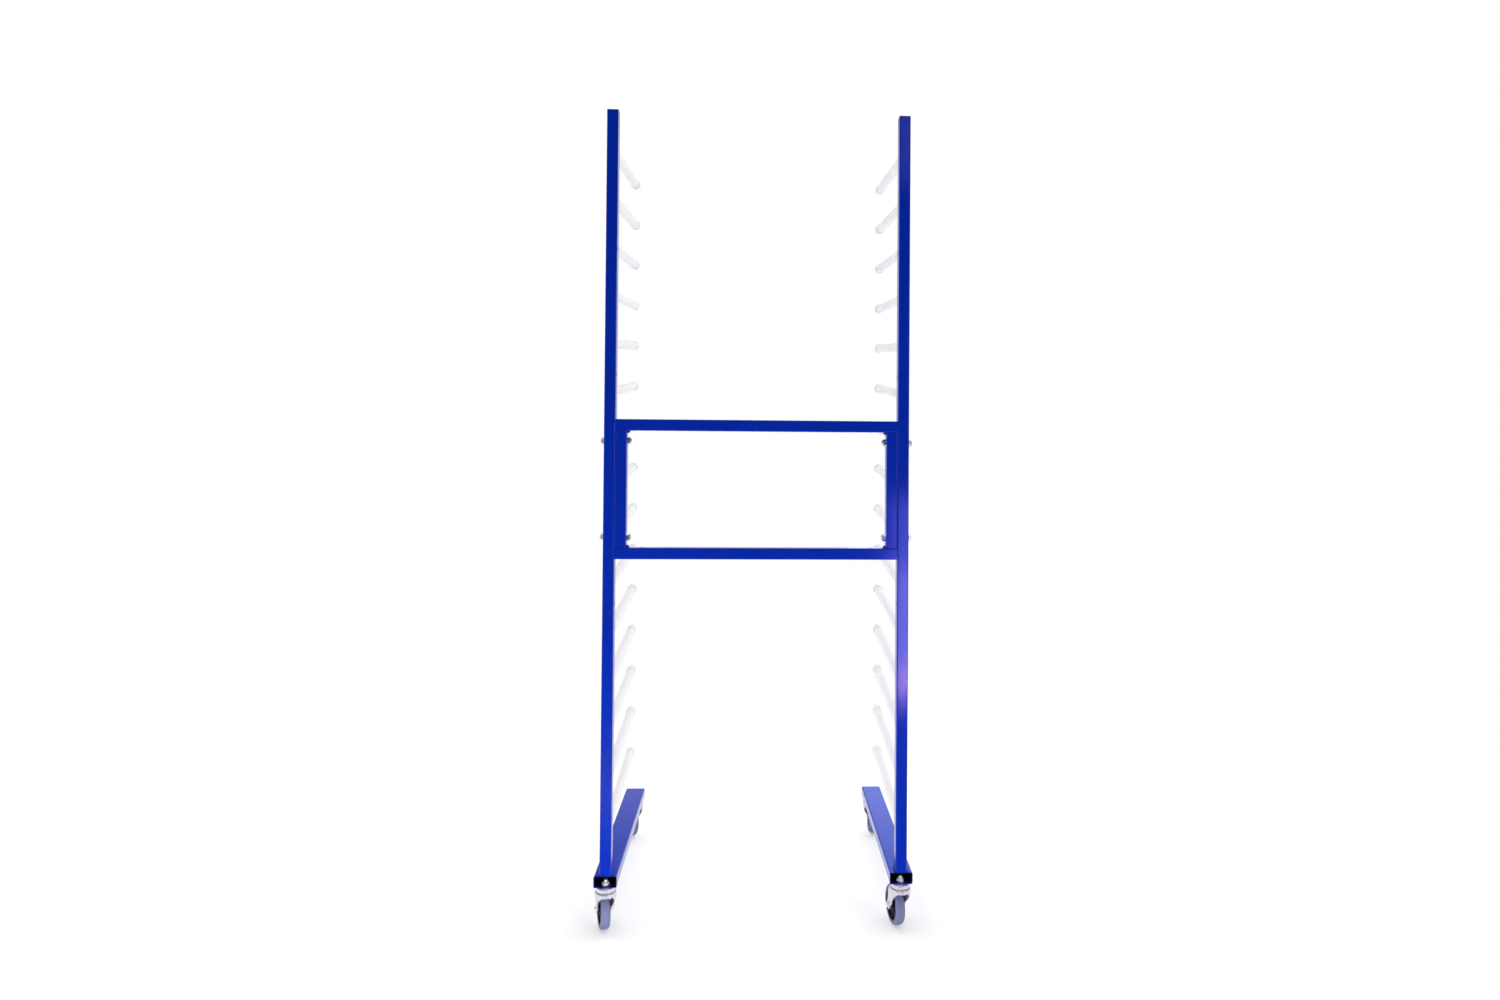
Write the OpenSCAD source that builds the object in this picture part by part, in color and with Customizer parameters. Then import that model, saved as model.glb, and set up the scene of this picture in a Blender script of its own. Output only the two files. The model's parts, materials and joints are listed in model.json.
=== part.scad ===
// Mobile single-sided drying rack: two uprights with cantilever arms, joined by
// a bolted cross frame and standing on foot beams with four swivel castors.
// Origin on the floor, under the middle of the rack's outline; +Z is up,
// X runs across the rack and +Y is the way the arms point.

/* [Uprights] */
// Width over the two uprights
rack_width = 800; // [500:10:1500]
// Length of each upright, from the foot beam to its top
upright_length = 1990; // [1950:10:2400]
// Outside width of the square tube
tube_size = 30; // [30:1:50]
// Wall thickness of every steel tube
tube_wall = 2; // [1.5:0.5:3]
// Outside corner radius of the square tube
tube_corner = 3; // [2.5:0.5:5]

/* [Foot beams] */
// Length of each foot beam, front to back
foot_length = 600; // [560:10:900]
// Width of the foot beam
foot_width = 60; // [50:5:80]
// Height of the foot beam
foot_height = 30; // [30:5:50]
// Outside corner radius of the foot beam
foot_corner = 4; // [3:0.5:6]

/* [Cross frame] */
// Outside height of the cross frame
frame_height = 365; // [330:5:500]
// Height of the cross frame's middle above the foot beams
frame_middle = 1000; // [900:10:1100]
// Distance between the two bolts on each side
bolt_spacing = 250; // [150:10:260]
// Distance between the fixing holes in each rail
rail_hole_spacing = 600; // [300:10:620]

/* [Fixing holes] */
// Diameter of the fixing holes
hole_d = 9; // [8.5:0.5:11]
// Diameter of the holes for the frame bolts
bolt_hole_d = 11; // [10.5:0.5:12]
// Height of the spare holes above and below the frame's middle
spare_hole_offset = 300; // [250:10:320]
// Height of the top spare hole above the frame's middle
top_hole_offset = 630; // [600:10:800]
// Diameter of the drain holes in the rails
drain_hole_d = 7; // [5:0.5:9]

/* [Arms] */
// Number of arm levels
arm_levels = 15; // [15:1:15]
// Height of the lowest arm above the foot beams
arm_first = 118; // [60:1:160]
// Height from one arm level to the next
arm_pitch = 126.5; // [100:0.5:128]
// Length of an arm along its own axis
arm_length = 450; // [300:10:500]
// Upward tilt of the arms, in degrees
arm_tilt = 6; // [0:0.5:8]
// Outside diameter of the steel arm tube
bar_d = 20; // [18:0.5:22]
// Outside diameter of the plastic sleeve
sleeve_d = 25; // [24:0.5:30]
// Outside diameter of the end cap
cap_d = 27; // [26.5:0.5:32]
// Length of the end cap
cap_length = 30; // [20:1:40]

/* [Castors] */
// Overall height of a castor
castor_height = 128; // [127:1:140]
// Diameter of the wheel
wheel_d = 100; // [96:1:100]
// Width of the tyre
tyre_width = 25; // [24:1:28]
// Distance from the swivel axis back to the axle
castor_trail = 40; // [38:1:44]
// Distance from the end of a foot beam to the swivel axis
castor_inset = 15; // [14:1:40]
// Angle that each castor is turned to at rest: front left
yaw_front_left = 17; // [-45:1:45]
// Angle that each castor is turned to at rest: front right
yaw_front_right = 10; // [-45:1:45]
// Angle that each castor is turned to at rest: rear left
yaw_rear_left = 28; // [-45:1:45]
// Angle that each castor is turned to at rest: rear right
yaw_rear_right = -22; // [-45:1:45]

/* [Hidden] */
$fn = 48;

// Levels
foot_bottom = castor_height;
foot_top = foot_bottom + foot_height;
frame_z = foot_top + frame_middle;
upright_top = foot_top + upright_length;

// Castor: the fork's crown is widest, and reaches out in front of the foot beam
crown_r = 27.5;
front_reach = crown_r - castor_inset;
rear_reach = castor_trail + wheel_d / 2 - castor_inset;

// Plan: the rack's outline is centred on the origin
front_y = -(foot_length + rear_reach - front_reach) / 2;
upright_x = (rack_width - tube_size) / 2;
upright_y = front_y + tube_size / 2;
back_face_y = front_y + tube_size;
inner_x = rack_width / 2 - tube_size;
post_x = inner_x - tube_size / 2;
rail_z = frame_height / 2 - tube_size / 2;
post_length = frame_height - 2 * tube_size;
drain_x = inner_x - tube_size - 9;

// M10 frame bolts and their low dome nuts
bolt_r = 5;
bolt_head_af = 17;
bolt_head_h = 6.4;
washer_r = 10;
washer_h = 2;
nut_hex_h = 8;
nut_bore_h = nut_hex_h + 1.5;
nut_dome_r = 8;
nut_h = 13;

// Plastic plugs
plug_flange = 3;
plug_wall = 2.2;
plug_depth = 12;

// Arm
bar_wall = 2;
weld_r = 13;
weld_length = 4.5;
sleeve_start = 5;
sleeve_end = arm_length - 4;
cap_round = 5;

// Castor head, measured down from the foot beam's underside
race_r = 25;
race_plate = 2.5;
race_h = 11;
ball_r = 4;
ball_ring_r = 17.5;
ball_count = 12;
pin_r = 8;
pin_bore_r = 5.2;
pin_fit = 0.08;
pin_flange_r = 11.5;
pin_flange_h = 2.5;
crown_top = 10.9;
crown_shoulder = 11.6;
crown_plate = 2.8;
crown_skirt = 26;
crown_track_r = 21.5;
mount_bolt_r = 5;
mount_bolt_af = 17;
mount_bolt_head = 6.4;
mount_nut_h = 8;
mount_bolt_end = 6;

// Castor fork and axle: the legs lean in from the crown's width to the axle's
leg_wall = 2.5;
leg_inner_axle = 16.9;
leg_outer_axle = leg_inner_axle + leg_wall;
leg_top = 14;
leg_bend_top = crown_skirt;
leg_bend_low = castor_height - wheel_d / 2 - 14;
leg_back_y = 10;
window_top = 23;
window_lip_y = -23;
window_round = 6;
boss_r = 11;
axle_z = castor_height - wheel_d / 2;
axle_r = 4;
axle_head_af = 13;
axle_head_h = 5.3;
axle_nut_h = 8;
bush_r = 6;
bush_fit = 0.05;

// Wheel
rim_r = wheel_d / 2 - 9;
hub_r = 13;
hub_half = 16.5;
rim_half = 12;
web_half = 2;
rib_count = 8;
tread_half = 6;

SLEEVES = [for (i = [1:arm_levels]) str("arm_sleeves_", i < 10 ? "0" : "", i)];

// ---- Shared shapes ----

// Rectangle with round corners, centred
module rounded_rect(w, d, r) {
    square([w - 2 * r, d], center = true);
    square([w, d - 2 * r], center = true);
    for (x = [-1, 1]) {
        for (y = [-1, 1]) {
            translate([x * (w / 2 - r), y * (d / 2 - r)])
                circle(r);
        }
    }
}

// Rectangular hollow section, standing up from the XY plane
module hollow_section(w, d, r, length) {
    linear_extrude(length)
        difference() {
            rounded_rect(w, d, r);
            rounded_rect(w - 2 * tube_wall, d - 2 * tube_wall, r - tube_wall / 2);
        }
}

// Plug for the end of a hollow section: a flange with a hollow skirt below it
module tube_plug(w, d, r, flange) {
    linear_extrude(flange)
        rounded_rect(w, d, r);
    skirt_w = w - 2 * tube_wall;
    skirt_d = d - 2 * tube_wall;
    translate([0, 0, -plug_depth])
        linear_extrude(plug_depth)
            difference() {
                rounded_rect(skirt_w, skirt_d, r - tube_wall / 2);
                square([skirt_w - 2 * plug_wall, skirt_d - 2 * plug_wall], center = true);
            }
}

// Hexagonal prism along +Z, measured across its flats
module hex_prism(across_flats, h) {
    cylinder(d = across_flats / cos(30), h = h, $fn = 6);
}

// Hexagonal head or nut along +Z, with the corners of its far face turned off
module hex_head(across_flats, h) {
    face_r = across_flats / 2 + 0.2;
    intersection() {
        hex_prism(across_flats, h);
        cylinder(r1 = face_r + h, r2 = face_r, h = h);
    }
}

// Points of an arc about a centre, from angle a0 to a1
function arc(cx, cy, r, a0, a1, n = 8) =
    [for (i = [0:n]) [cx + r * cos(a0 + (a1 - a0) * i / n), cy + r * sin(a0 + (a1 - a0) * i / n)]];

// Children on the left and on the right
module both_sides(x) {
    for (s = [-1, 1]) {
        translate([s * x, 0, 0])
            children();
    }
}

// ---- Uprights and foot beams ----

// Hole through an upright or a post, along X
module cross_hole(d, z) {
    translate([-tube_size, 0, z])
        rotate([0, 90, 0])
            cylinder(d = d, h = 2 * tube_size);
}

module upright(side) {
    spare = [-spare_hole_offset, spare_hole_offset, top_hole_offset];
    bolts = [-bolt_spacing / 2, bolt_spacing / 2];
    color("mediumblue")
        translate([side * upright_x, upright_y, 0])
            difference() {
                translate([0, 0, foot_top])
                    hollow_section(tube_size, tube_size, tube_corner, upright_length);
                for (dz = bolts) {
                    cross_hole(bolt_hole_d, frame_z + dz);
                }
                for (dz = spare) {
                    cross_hole(hole_d, frame_z + dz);
                }
            }
}

// Foot beam: its ends stay open, so that a spanner reaches the castors' nuts
module foot_beam(side) {
    color("mediumblue")
        translate([side * upright_x, 0, 0])
            difference() {
                translate([0, front_y, foot_bottom + foot_height / 2])
                    rotate([-90, 0, 0])
                        hollow_section(foot_width, foot_height, foot_corner, foot_length);
                for (y = [front_y + castor_inset, front_y + foot_length - castor_inset]) {
                    translate([0, y, foot_bottom - 1])
                        cylinder(d = bolt_hole_d, h = tube_wall + 2);
                }
            }
}

// ---- Cross frame ----

// Rail across the rack; drain_side is the side of its wall that faces into the frame
module frame_rail(z, drain_side) {
    color("mediumblue")
        difference() {
            translate([-inner_x, upright_y, z])
                rotate([0, 90, 0])
                    hollow_section(tube_size, tube_size, tube_corner, 2 * inner_x);
            both_sides(rail_hole_spacing / 2)
                translate([0, upright_y, z - tube_size])
                    cylinder(d = hole_d, h = 2 * tube_size);
            both_sides(drain_x)
                translate([0, upright_y, drain_side > 0 ? z : z - tube_size])
                    cylinder(d = drain_hole_d, h = tube_size);
        }
}

// Post between the two rails, bolted to the upright beside it
module frame_post(side) {
    color("mediumblue")
        translate([side * post_x, upright_y, 0])
            difference() {
                translate([0, 0, frame_z - post_length / 2])
                    hollow_section(tube_size, tube_size, tube_corner, post_length);
                for (s = [-1, 1]) {
                    cross_hole(bolt_hole_d, frame_z + s * bolt_spacing / 2);
                }
            }
}

// Places children at each frame bolt, with +X pointing out of the rack
module at_frame_bolts() {
    for (side = [0, 1]) {
        for (s = [-1, 1]) {
            mirror([side, 0, 0])
                translate([0, upright_y, frame_z + s * bolt_spacing / 2])
                    rotate([0, 90, 0])
                        children();
        }
    }
}

module frame_washers() {
    color("gainsboro")
        at_frame_bolts()
            translate([0, 0, rack_width / 2])
                difference() {
                    cylinder(r = washer_r, h = washer_h);
                    translate([0, 0, -1])
                        cylinder(r = bolt_r + 0.4, h = washer_h + 2);
                }
}

module frame_bolts() {
    shank_start = inner_x - tube_size - nut_bore_h;
    head_start = rack_width / 2 + washer_h;
    color("silver")
        at_frame_bolts() {
            translate([0, 0, shank_start])
                cylinder(r = bolt_r, h = head_start - shank_start);
            translate([0, 0, head_start])
                hex_head(bolt_head_af, bolt_head_h);
        }
}

// Dome nut: a hexagon with a low round cap, closed at its inner end
module frame_dome_nuts() {
    cap_h = nut_h - nut_hex_h;
    cap_r = (nut_dome_r * nut_dome_r + cap_h * cap_h) / (2 * cap_h);
    color("gainsboro")
        at_frame_bolts()
            translate([0, 0, inner_x - tube_size])
                mirror([0, 0, 1])
                    difference() {
                        union() {
                            hex_prism(bolt_head_af, nut_hex_h);
                            intersection() {
                                translate([0, 0, nut_h - cap_r])
                                    sphere(cap_r, $fn = 96);
                                cylinder(r = nut_dome_r, h = nut_h + 1);
                            }
                        }
                        translate([0, 0, -1])
                            cylinder(r = bolt_r, h = nut_bore_h + 1);
                    }
}

// ---- Plugs ----

module upright_top_plugs() {
    color("#0a0d1c")
        both_sides(upright_x)
            translate([0, upright_y, upright_top])
                tube_plug(tube_size, tube_size, tube_corner, plug_flange);
}

// ---- Arms ----

// Places children on the arm axis of one level, with +Z along the arm
module on_arm(side, level) {
    translate([side * upright_x, back_face_y, foot_top + arm_first + level * arm_pitch])
        rotate([arm_tilt - 90, 0, 0])
            children();
}

// Everything behind the uprights' back faces, at one arm level
module behind_upright(side, level) {
    translate([side * upright_x - tube_size, back_face_y, foot_top + arm_first + level * arm_pitch - 40])
        cube([2 * tube_size, arm_length + 20, 150]);
}

// Steel arm tubes with their weld collars, cut to meet the back of the upright
module arm_bars(side) {
    color("mediumblue")
        for (level = [0:arm_levels - 1]) {
            intersection() {
                on_arm(side, level)
                    difference() {
                        union() {
                            translate([0, 0, -3])
                                cylinder(d = bar_d, h = sleeve_end + 3);
                            translate([0, 0, -3])
                                cylinder(r1 = weld_r, r2 = bar_d / 2 + 0.5, h = weld_length + 3);
                        }
                        translate([0, 0, weld_length])
                            cylinder(d = bar_d - 2 * bar_wall, h = arm_length);
                    }
                behind_upright(side, level);
            }
        }
}

// Plastic sleeves of one level, left and right
module arm_sleeves(level) {
    color("whitesmoke")
        for (side = [-1, 1]) {
            on_arm(side, level)
                translate([0, 0, sleeve_start])
                    difference() {
                        cylinder(d = sleeve_d, h = sleeve_end - sleeve_start);
                        translate([0, 0, -1])
                            cylinder(d = bar_d, h = arm_length);
                    }
        }
}

// Rounded caps pushed over the ends of the sleeves
module arm_end_caps(side) {
    outer = concat(
        [[0, 0]],
        [[cap_d / 2, 0]],
        arc(cap_d / 2 - cap_round, cap_length - cap_round, cap_round, 0, 90),
        [[0, cap_length]]
    );
    color("lightgray")
        for (level = [0:arm_levels - 1]) {
            on_arm(side, level)
                translate([0, 0, arm_length - cap_length])
                    difference() {
                        rotate_extrude()
                            polygon(outer);
                        translate([0, 0, -1])
                            cylinder(d = sleeve_d, h = cap_length - 4 + 1);
                    }
        }
}

// ---- Castors ----

// Each castor's place, by its name: x side, y and rest angle
function castor_side(name) = name == "front_left" || name == "rear_left" ? -1 : 1;
function castor_y(name) = name == "front_left" || name == "front_right"
    ? front_y + castor_inset
    : front_y + foot_length - castor_inset;
function castor_yaw(name) =
    name == "front_left" ? yaw_front_left :
    name == "front_right" ? yaw_front_right :
    name == "rear_left" ? yaw_rear_left : yaw_rear_right;
CASTORS = ["front_left", "front_right", "rear_left", "rear_right"];

// Places children on a castor's swivel axis at the foot beam's underside, +Y trailing
module at_castor(name) {
    translate([castor_side(name) * upright_x, castor_y(name), foot_bottom])
        rotate([0, 0, castor_yaw(name)])
            children();
}

module at_each_castor() {
    for (name = CASTORS) {
        at_castor(name)
            children();
    }
}

// Places children on a castor's axle, with +Z along the axle to the right
module at_axle(name) {
    at_castor(name)
        translate([0, castor_trail, -axle_z])
            rotate([0, 90, 0])
                children();
}

// Fixed upper race: a pressed cup with a rounded rim
module castor_top_races() {
    profile = concat(
        [[pin_r, 0]],
        arc(race_r - 2, -2, 2, 90, 0, 6),
        [[race_r, -race_h], [race_r - race_plate, -race_h], [race_r - race_plate, -race_plate]],
        [[pin_r, -race_plate]]
    );
    color("silver")
        at_each_castor()
            rotate_extrude()
                polygon(profile);
}

module castor_ball_rings() {
    color("gainsboro")
        at_each_castor()
            for (i = [0:ball_count - 1]) {
                rotate([0, 0, i * 360 / ball_count])
                    translate([ball_ring_r, 0, -race_plate - ball_r])
                        sphere(ball_r, $fn = 24);
            }
}

// Hollow swivel pin with the flange that carries the fork
module castor_king_pins() {
    flange_top = crown_top + crown_plate + 0.4;
    color("silver")
        at_each_castor()
            difference() {
                union() {
                    translate([0, 0, -flange_top])
                        cylinder(r = pin_r, h = flange_top);
                    translate([0, 0, -flange_top - pin_flange_h])
                        cylinder(r = pin_flange_r, h = pin_flange_h);
                }
                translate([0, 0, -flange_top - pin_flange_h - 1])
                    cylinder(r = pin_bore_r, h = flange_top + pin_flange_h + 2);
            }
}

module castor_mounting_bolts() {
    head_top = crown_top + crown_plate + 0.4 + pin_flange_h;
    color("gray")
        at_each_castor()
            translate([0, 0, -head_top]) {
                cylinder(r = mount_bolt_r, h = head_top + tube_wall + mount_nut_h + mount_bolt_end);
                translate([0, 0, -mount_bolt_head])
                    hex_prism(mount_bolt_af, mount_bolt_head);
            }
}

// Nuts on the castors' bolts, inside the foot beams
module castor_mounting_nuts() {
    color("silver")
        at_each_castor()
            translate([0, 0, tube_wall])
                difference() {
                    hex_head(mount_bolt_af, mount_nut_h);
                    translate([0, 0, -1])
                        cylinder(r = mount_bolt_r, h = mount_nut_h + 2);
                }
}

// The fork's crown: a pressed bell round the swivel pin
module crown_bell() {
    outer = concat(
        [[pin_r + pin_fit, -crown_top], [crown_track_r - 0.6, -crown_top], [crown_track_r, -crown_shoulder]],
        arc(crown_r - 4, -crown_shoulder - 4, 4, 90, 0),
        [[crown_r, -crown_skirt], [crown_r - leg_wall, -crown_skirt]],
        arc(crown_r - leg_wall - 2, -crown_shoulder - crown_plate - 2, 2, 0, 90, 4),
        [[crown_track_r, -crown_shoulder - crown_plate], [crown_track_r - 1, -crown_top - crown_plate]],
        [[pin_r + pin_fit, -crown_top - crown_plate]]
    );
    rotate_extrude()
        polygon(outer);
}

// Where a line from point p touches a circle, on the circle's left (-1) or right (1)
function touch(p, centre, r, side) =
    let (
        gap = norm(centre - p),
        turn = atan2(centre.y - p.y, centre.x - p.x) + side * asin(r / gap),
        reach = sqrt(gap * gap - r * r)
    )
    p + reach * [cos(turn), sin(turn)];

// Side views of the fork, as [y, z] seen along the axle
axle_point = [castor_trail, -axle_z];
window_lip = [window_lip_y, -window_top];
leg_front_touch = touch(window_lip, axle_point, boss_r, -1);
leg_back_touch = touch([leg_back_y, -leg_top], axle_point, boss_r, 1);

// Side outline of the legs, which run from the crown back to the axle boss
module leg_side() {
    polygon([
        [-crown_r - 1, -leg_top],
        [-crown_r - 1, -crown_skirt],
        leg_front_touch,
        axle_point,
        leg_back_touch,
        [leg_back_y, -leg_top]
    ]);
    translate(axle_point)
        circle(boss_r);
}

// Opening over the wheel: it rises to the crown's lip and slopes back to the boss
module window_side() {
    slope = atan2(window_lip.y - leg_front_touch.y, leg_front_touch.x - window_lip.x);
    arc_y = window_lip_y - window_round * tan(slope / 2);
    polygon(concat(
        [[-2 * crown_r, -castor_height], [-2 * crown_r, -window_top]],
        arc(arc_y, -window_top - window_round, window_round, 90, 90 - slope, 5),
        [leg_front_touch, [leg_front_touch.x, -castor_height]]
    ));
}

// Plan of the fork's outside or inside: round in front, straight at the sides
module fork_plan(half, back) {
    circle(half);
    translate([-half, 0])
        square([2 * half, back]);
}

// The plan carried down from the crown, leaning in and then straight past the axle
module fork_block(half_top, half_low, back) {
    slice = 0.01;
    translate([0, 0, -leg_bend_top])
        linear_extrude(leg_bend_top - leg_top)
            fork_plan(half_top, back);
    hull() {
        translate([0, 0, -leg_bend_top])
            linear_extrude(slice)
                fork_plan(half_top, back);
        translate([0, 0, -leg_bend_low])
            linear_extrude(slice)
                fork_plan(half_low, back);
    }
    translate([0, 0, -castor_height])
        linear_extrude(castor_height - leg_bend_low)
            fork_plan(half_low, back);
}

// Extrudes a side view to both sides of the wheel
module across_wheel() {
    translate([-2 * crown_r, 0, 0])
        rotate([90, 0, 90])
            linear_extrude(4 * crown_r)
                children();
}

module castor_fork(name) {
    seam = 0.15;
    back = castor_trail + boss_r + 5;
    color("gainsboro")
        difference() {
            at_castor(name)
                difference() {
                    union() {
                        crown_bell();
                        intersection() {
                            across_wheel()
                                leg_side();
                            difference() {
                                fork_block(crown_r - seam, leg_outer_axle, back);
                                fork_block(crown_r - leg_wall + seam, leg_inner_axle, back + 5);
                            }
                        }
                    }
                    across_wheel()
                        window_side();
                }
            at_axle(name)
                translate([0, 0, -2 * crown_r])
                    cylinder(r = axle_r, h = 4 * crown_r);
        }
}

module axle_bolt(name) {
    color("silver")
        at_axle(name) {
            translate([0, 0, -leg_outer_axle])
                cylinder(r = axle_r, h = 2 * leg_outer_axle + axle_nut_h + 1);
            translate([0, 0, -leg_outer_axle - axle_head_h])
                hex_prism(axle_head_af, axle_head_h);
        }
}

module axle_nut(name) {
    color("silver")
        at_axle(name)
            translate([0, 0, leg_outer_axle])
                difference() {
                    union() {
                        hex_prism(axle_head_af, axle_nut_h - 2);
                        cylinder(r = axle_head_af / 2 - 0.5, h = axle_nut_h);
                    }
                    translate([0, 0, -1])
                        cylinder(r = axle_r, h = axle_nut_h + 2);
                }
}

// Steel tube clamped between the legs, on which the wheel turns
module axle_bush(name) {
    color("silver")
        at_axle(name)
            translate([0, 0, -leg_inner_axle])
                difference() {
                    cylinder(r = bush_r, h = 2 * leg_inner_axle);
                    translate([0, 0, -1])
                        cylinder(r = axle_r, h = 2 * leg_inner_axle + 2);
                }
}

// Moulded wheel centre: hub, thin web, ribs and rim
module wheel_core(name) {
    rib_half = rim_half - 3;
    color("#1b1c22")
        at_axle(name)
            difference() {
                union() {
                    translate([0, 0, -hub_half])
                        cylinder(r = hub_r - 3, h = 2 * hub_half);
                    translate([0, 0, -rim_half])
                        cylinder(r = hub_r, h = 2 * rim_half);
                    translate([0, 0, -web_half])
                        cylinder(r = rim_r - 1, h = 2 * web_half);
                    translate([0, 0, -rim_half])
                        difference() {
                            cylinder(r = rim_r, h = 2 * rim_half, $fn = 96);
                            translate([0, 0, -1])
                                cylinder(r = rim_r - 4, h = 2 * rim_half + 2, $fn = 96);
                        }
                    for (i = [0:rib_count - 1]) {
                        rotate([0, 0, i * 360 / rib_count])
                            translate([hub_r - 2, -1.2, -rib_half])
                                cube([rim_r - hub_r, 2.4, 2 * rib_half]);
                    }
                }
                translate([0, 0, -hub_half - 1])
                    cylinder(r = bush_r + bush_fit, h = 2 * hub_half + 2);
            }
}

// Tyre with a flat tread and rounded shoulders
module tyre(name) {
    half = tyre_width / 2;
    tread_r = wheel_d / 2;
    shoulder = half - tread_half;
    profile = concat(
        [[rim_r, -rim_half], [rim_r + 1, -half + 0.5]],
        [[rim_r + 1.5, -half]],
        arc(tread_r - shoulder, -tread_half, shoulder, -90, 0),
        arc(tread_r - shoulder, tread_half, shoulder, 0, 90),
        [[rim_r + 1.5, half]],
        [[rim_r + 1, half - 0.5], [rim_r, rim_half]]
    );
    color("slategray")
        at_axle(name)
            rotate_extrude($fn = 120)
                polygon(profile);
}

upright(-1);  // left_upright
upright(1);  // right_upright
foot_beam(-1);  // left_foot_beam
foot_beam(1);  // right_foot_beam
frame_rail(frame_z + rail_z, -1);  // frame_top_rail
frame_rail(frame_z - rail_z, 1);  // frame_bottom_rail
frame_post(-1);  // frame_left_post
frame_post(1);  // frame_right_post
arm_bars(-1);  // left_arm_bars
arm_bars(1);  // right_arm_bars
arm_end_caps(-1);  // left_arm_end_caps
arm_end_caps(1);  // right_arm_end_caps
for (i = [0:arm_levels - 1]) arm_sleeves(i);
upright_top_plugs();
frame_bolts();
frame_washers();
frame_dome_nuts();
castor_top_races();
castor_ball_rings();
castor_king_pins();
castor_mounting_bolts();
castor_mounting_nuts();
for (c = CASTORS) castor_fork(c);
for (c = CASTORS) axle_bolt(c);
for (c = CASTORS) axle_nut(c);
for (c = CASTORS) axle_bush(c);
for (c = CASTORS) wheel_core(c);
for (c = CASTORS) tyre(c);
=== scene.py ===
"""Dresses a mobile single-sided drying rack: soft edges, weld beads and finishes on its parts,
and a plain studio round it."""

import json
import math

import bmesh
import bpy
from bpy.props import FloatProperty, FloatVectorProperty, IntProperty, PointerProperty
from mathutils import Matrix, Vector


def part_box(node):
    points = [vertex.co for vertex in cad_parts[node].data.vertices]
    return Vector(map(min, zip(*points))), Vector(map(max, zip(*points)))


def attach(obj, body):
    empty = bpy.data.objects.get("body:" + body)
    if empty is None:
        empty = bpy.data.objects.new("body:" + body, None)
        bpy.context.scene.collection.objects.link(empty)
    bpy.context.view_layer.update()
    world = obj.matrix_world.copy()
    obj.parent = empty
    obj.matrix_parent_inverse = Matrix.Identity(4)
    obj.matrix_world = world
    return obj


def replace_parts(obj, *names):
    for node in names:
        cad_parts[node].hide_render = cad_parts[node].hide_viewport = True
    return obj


bl_info = {
    "name": "Drying Rack Dresser",
    "version": (1, 0, 0),
    "blender": (4, 5, 0),
    "location": "3D View > Sidebar > Drying Rack",
    "description": "Gives a drying rack's parts their soft edges, welds and finishes, in a small studio",
    "category": "Object",
}

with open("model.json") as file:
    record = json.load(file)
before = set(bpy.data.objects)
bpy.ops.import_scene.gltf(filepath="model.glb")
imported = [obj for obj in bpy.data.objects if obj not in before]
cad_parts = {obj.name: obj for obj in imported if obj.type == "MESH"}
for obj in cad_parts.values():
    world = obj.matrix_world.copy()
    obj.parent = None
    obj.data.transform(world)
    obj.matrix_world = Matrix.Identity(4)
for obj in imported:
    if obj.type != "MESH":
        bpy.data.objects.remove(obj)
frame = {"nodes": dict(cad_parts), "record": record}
RECORD = frame["record"]
BODY_OF = {n: body for body, nodes in RECORD["behaviour"]["bodies"].items() for n in nodes}
SLOT_OF = {s["node"]: s["material_slot"] for s in RECORD["subparts"]}
UPRIGHT_FOOT = Vector(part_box("left_upright")[0])
SWIVELS = [Vector(j["pos_m"]) for j in RECORD["behaviour"]["joints"] if j["name"].endswith("_swivel")]
MM = 0.001
# Faces that meet at less than this angle are shaded as one
SMOOTH_ANGLE = math.radians(40)


def box_corners(node):
    """Lowest and highest corner of a node's box."""
    return tuple(Vector(corner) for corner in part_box(node))


def nodes_in(slot):
    """The nodes that share a finish."""
    return [s["node"] for s in RECORD["subparts"] if s["material_slot"] == slot]


# ---- Settings that a user would change ----


def colour(name, description, default):
    """A colour setting."""
    return FloatVectorProperty(
        name=name, description=description, subtype="COLOR", size=3, min=0, max=1, default=default
    )


def length(name, description, default):
    """A length setting, in metres."""
    return FloatProperty(
        name=name, description=description, unit="LENGTH", min=0, max=0.1, precision=5, default=default
    )


class RackFinishes(bpy.types.PropertyGroup):
    """Colours of the rack's finishes."""

    tube_blue: colour("Tube blue", "Powder coat on the tubes", (0.0006, 0.0215, 0.385))
    sleeve_white: colour("Sleeve white", "Plastic sleeves on the arms", (0.91, 0.885, 0.90))
    cap_grey: colour("Cap grey", "Soft caps on the ends of the arms", (0.86, 0.83, 0.845))
    plug_black: colour("Plug black", "Plugs in the uprights' tops", (0.004, 0.005, 0.016))
    zinc: colour("Zinc", "Plated bolts, washers and axles", (0.86, 0.86, 0.89))
    chrome: colour("Chrome", "Dome nuts", (0.95, 0.95, 0.97))
    castor_zinc: colour("Castor zinc", "Pressed forks and races", (0.66, 0.64, 0.72))
    wheel_black: colour("Wheel black", "Moulded wheel centres", (0.010, 0.010, 0.014))
    tyre_grey: colour("Tyre grey", "Tyres", (0.155, 0.17, 0.33))


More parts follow.
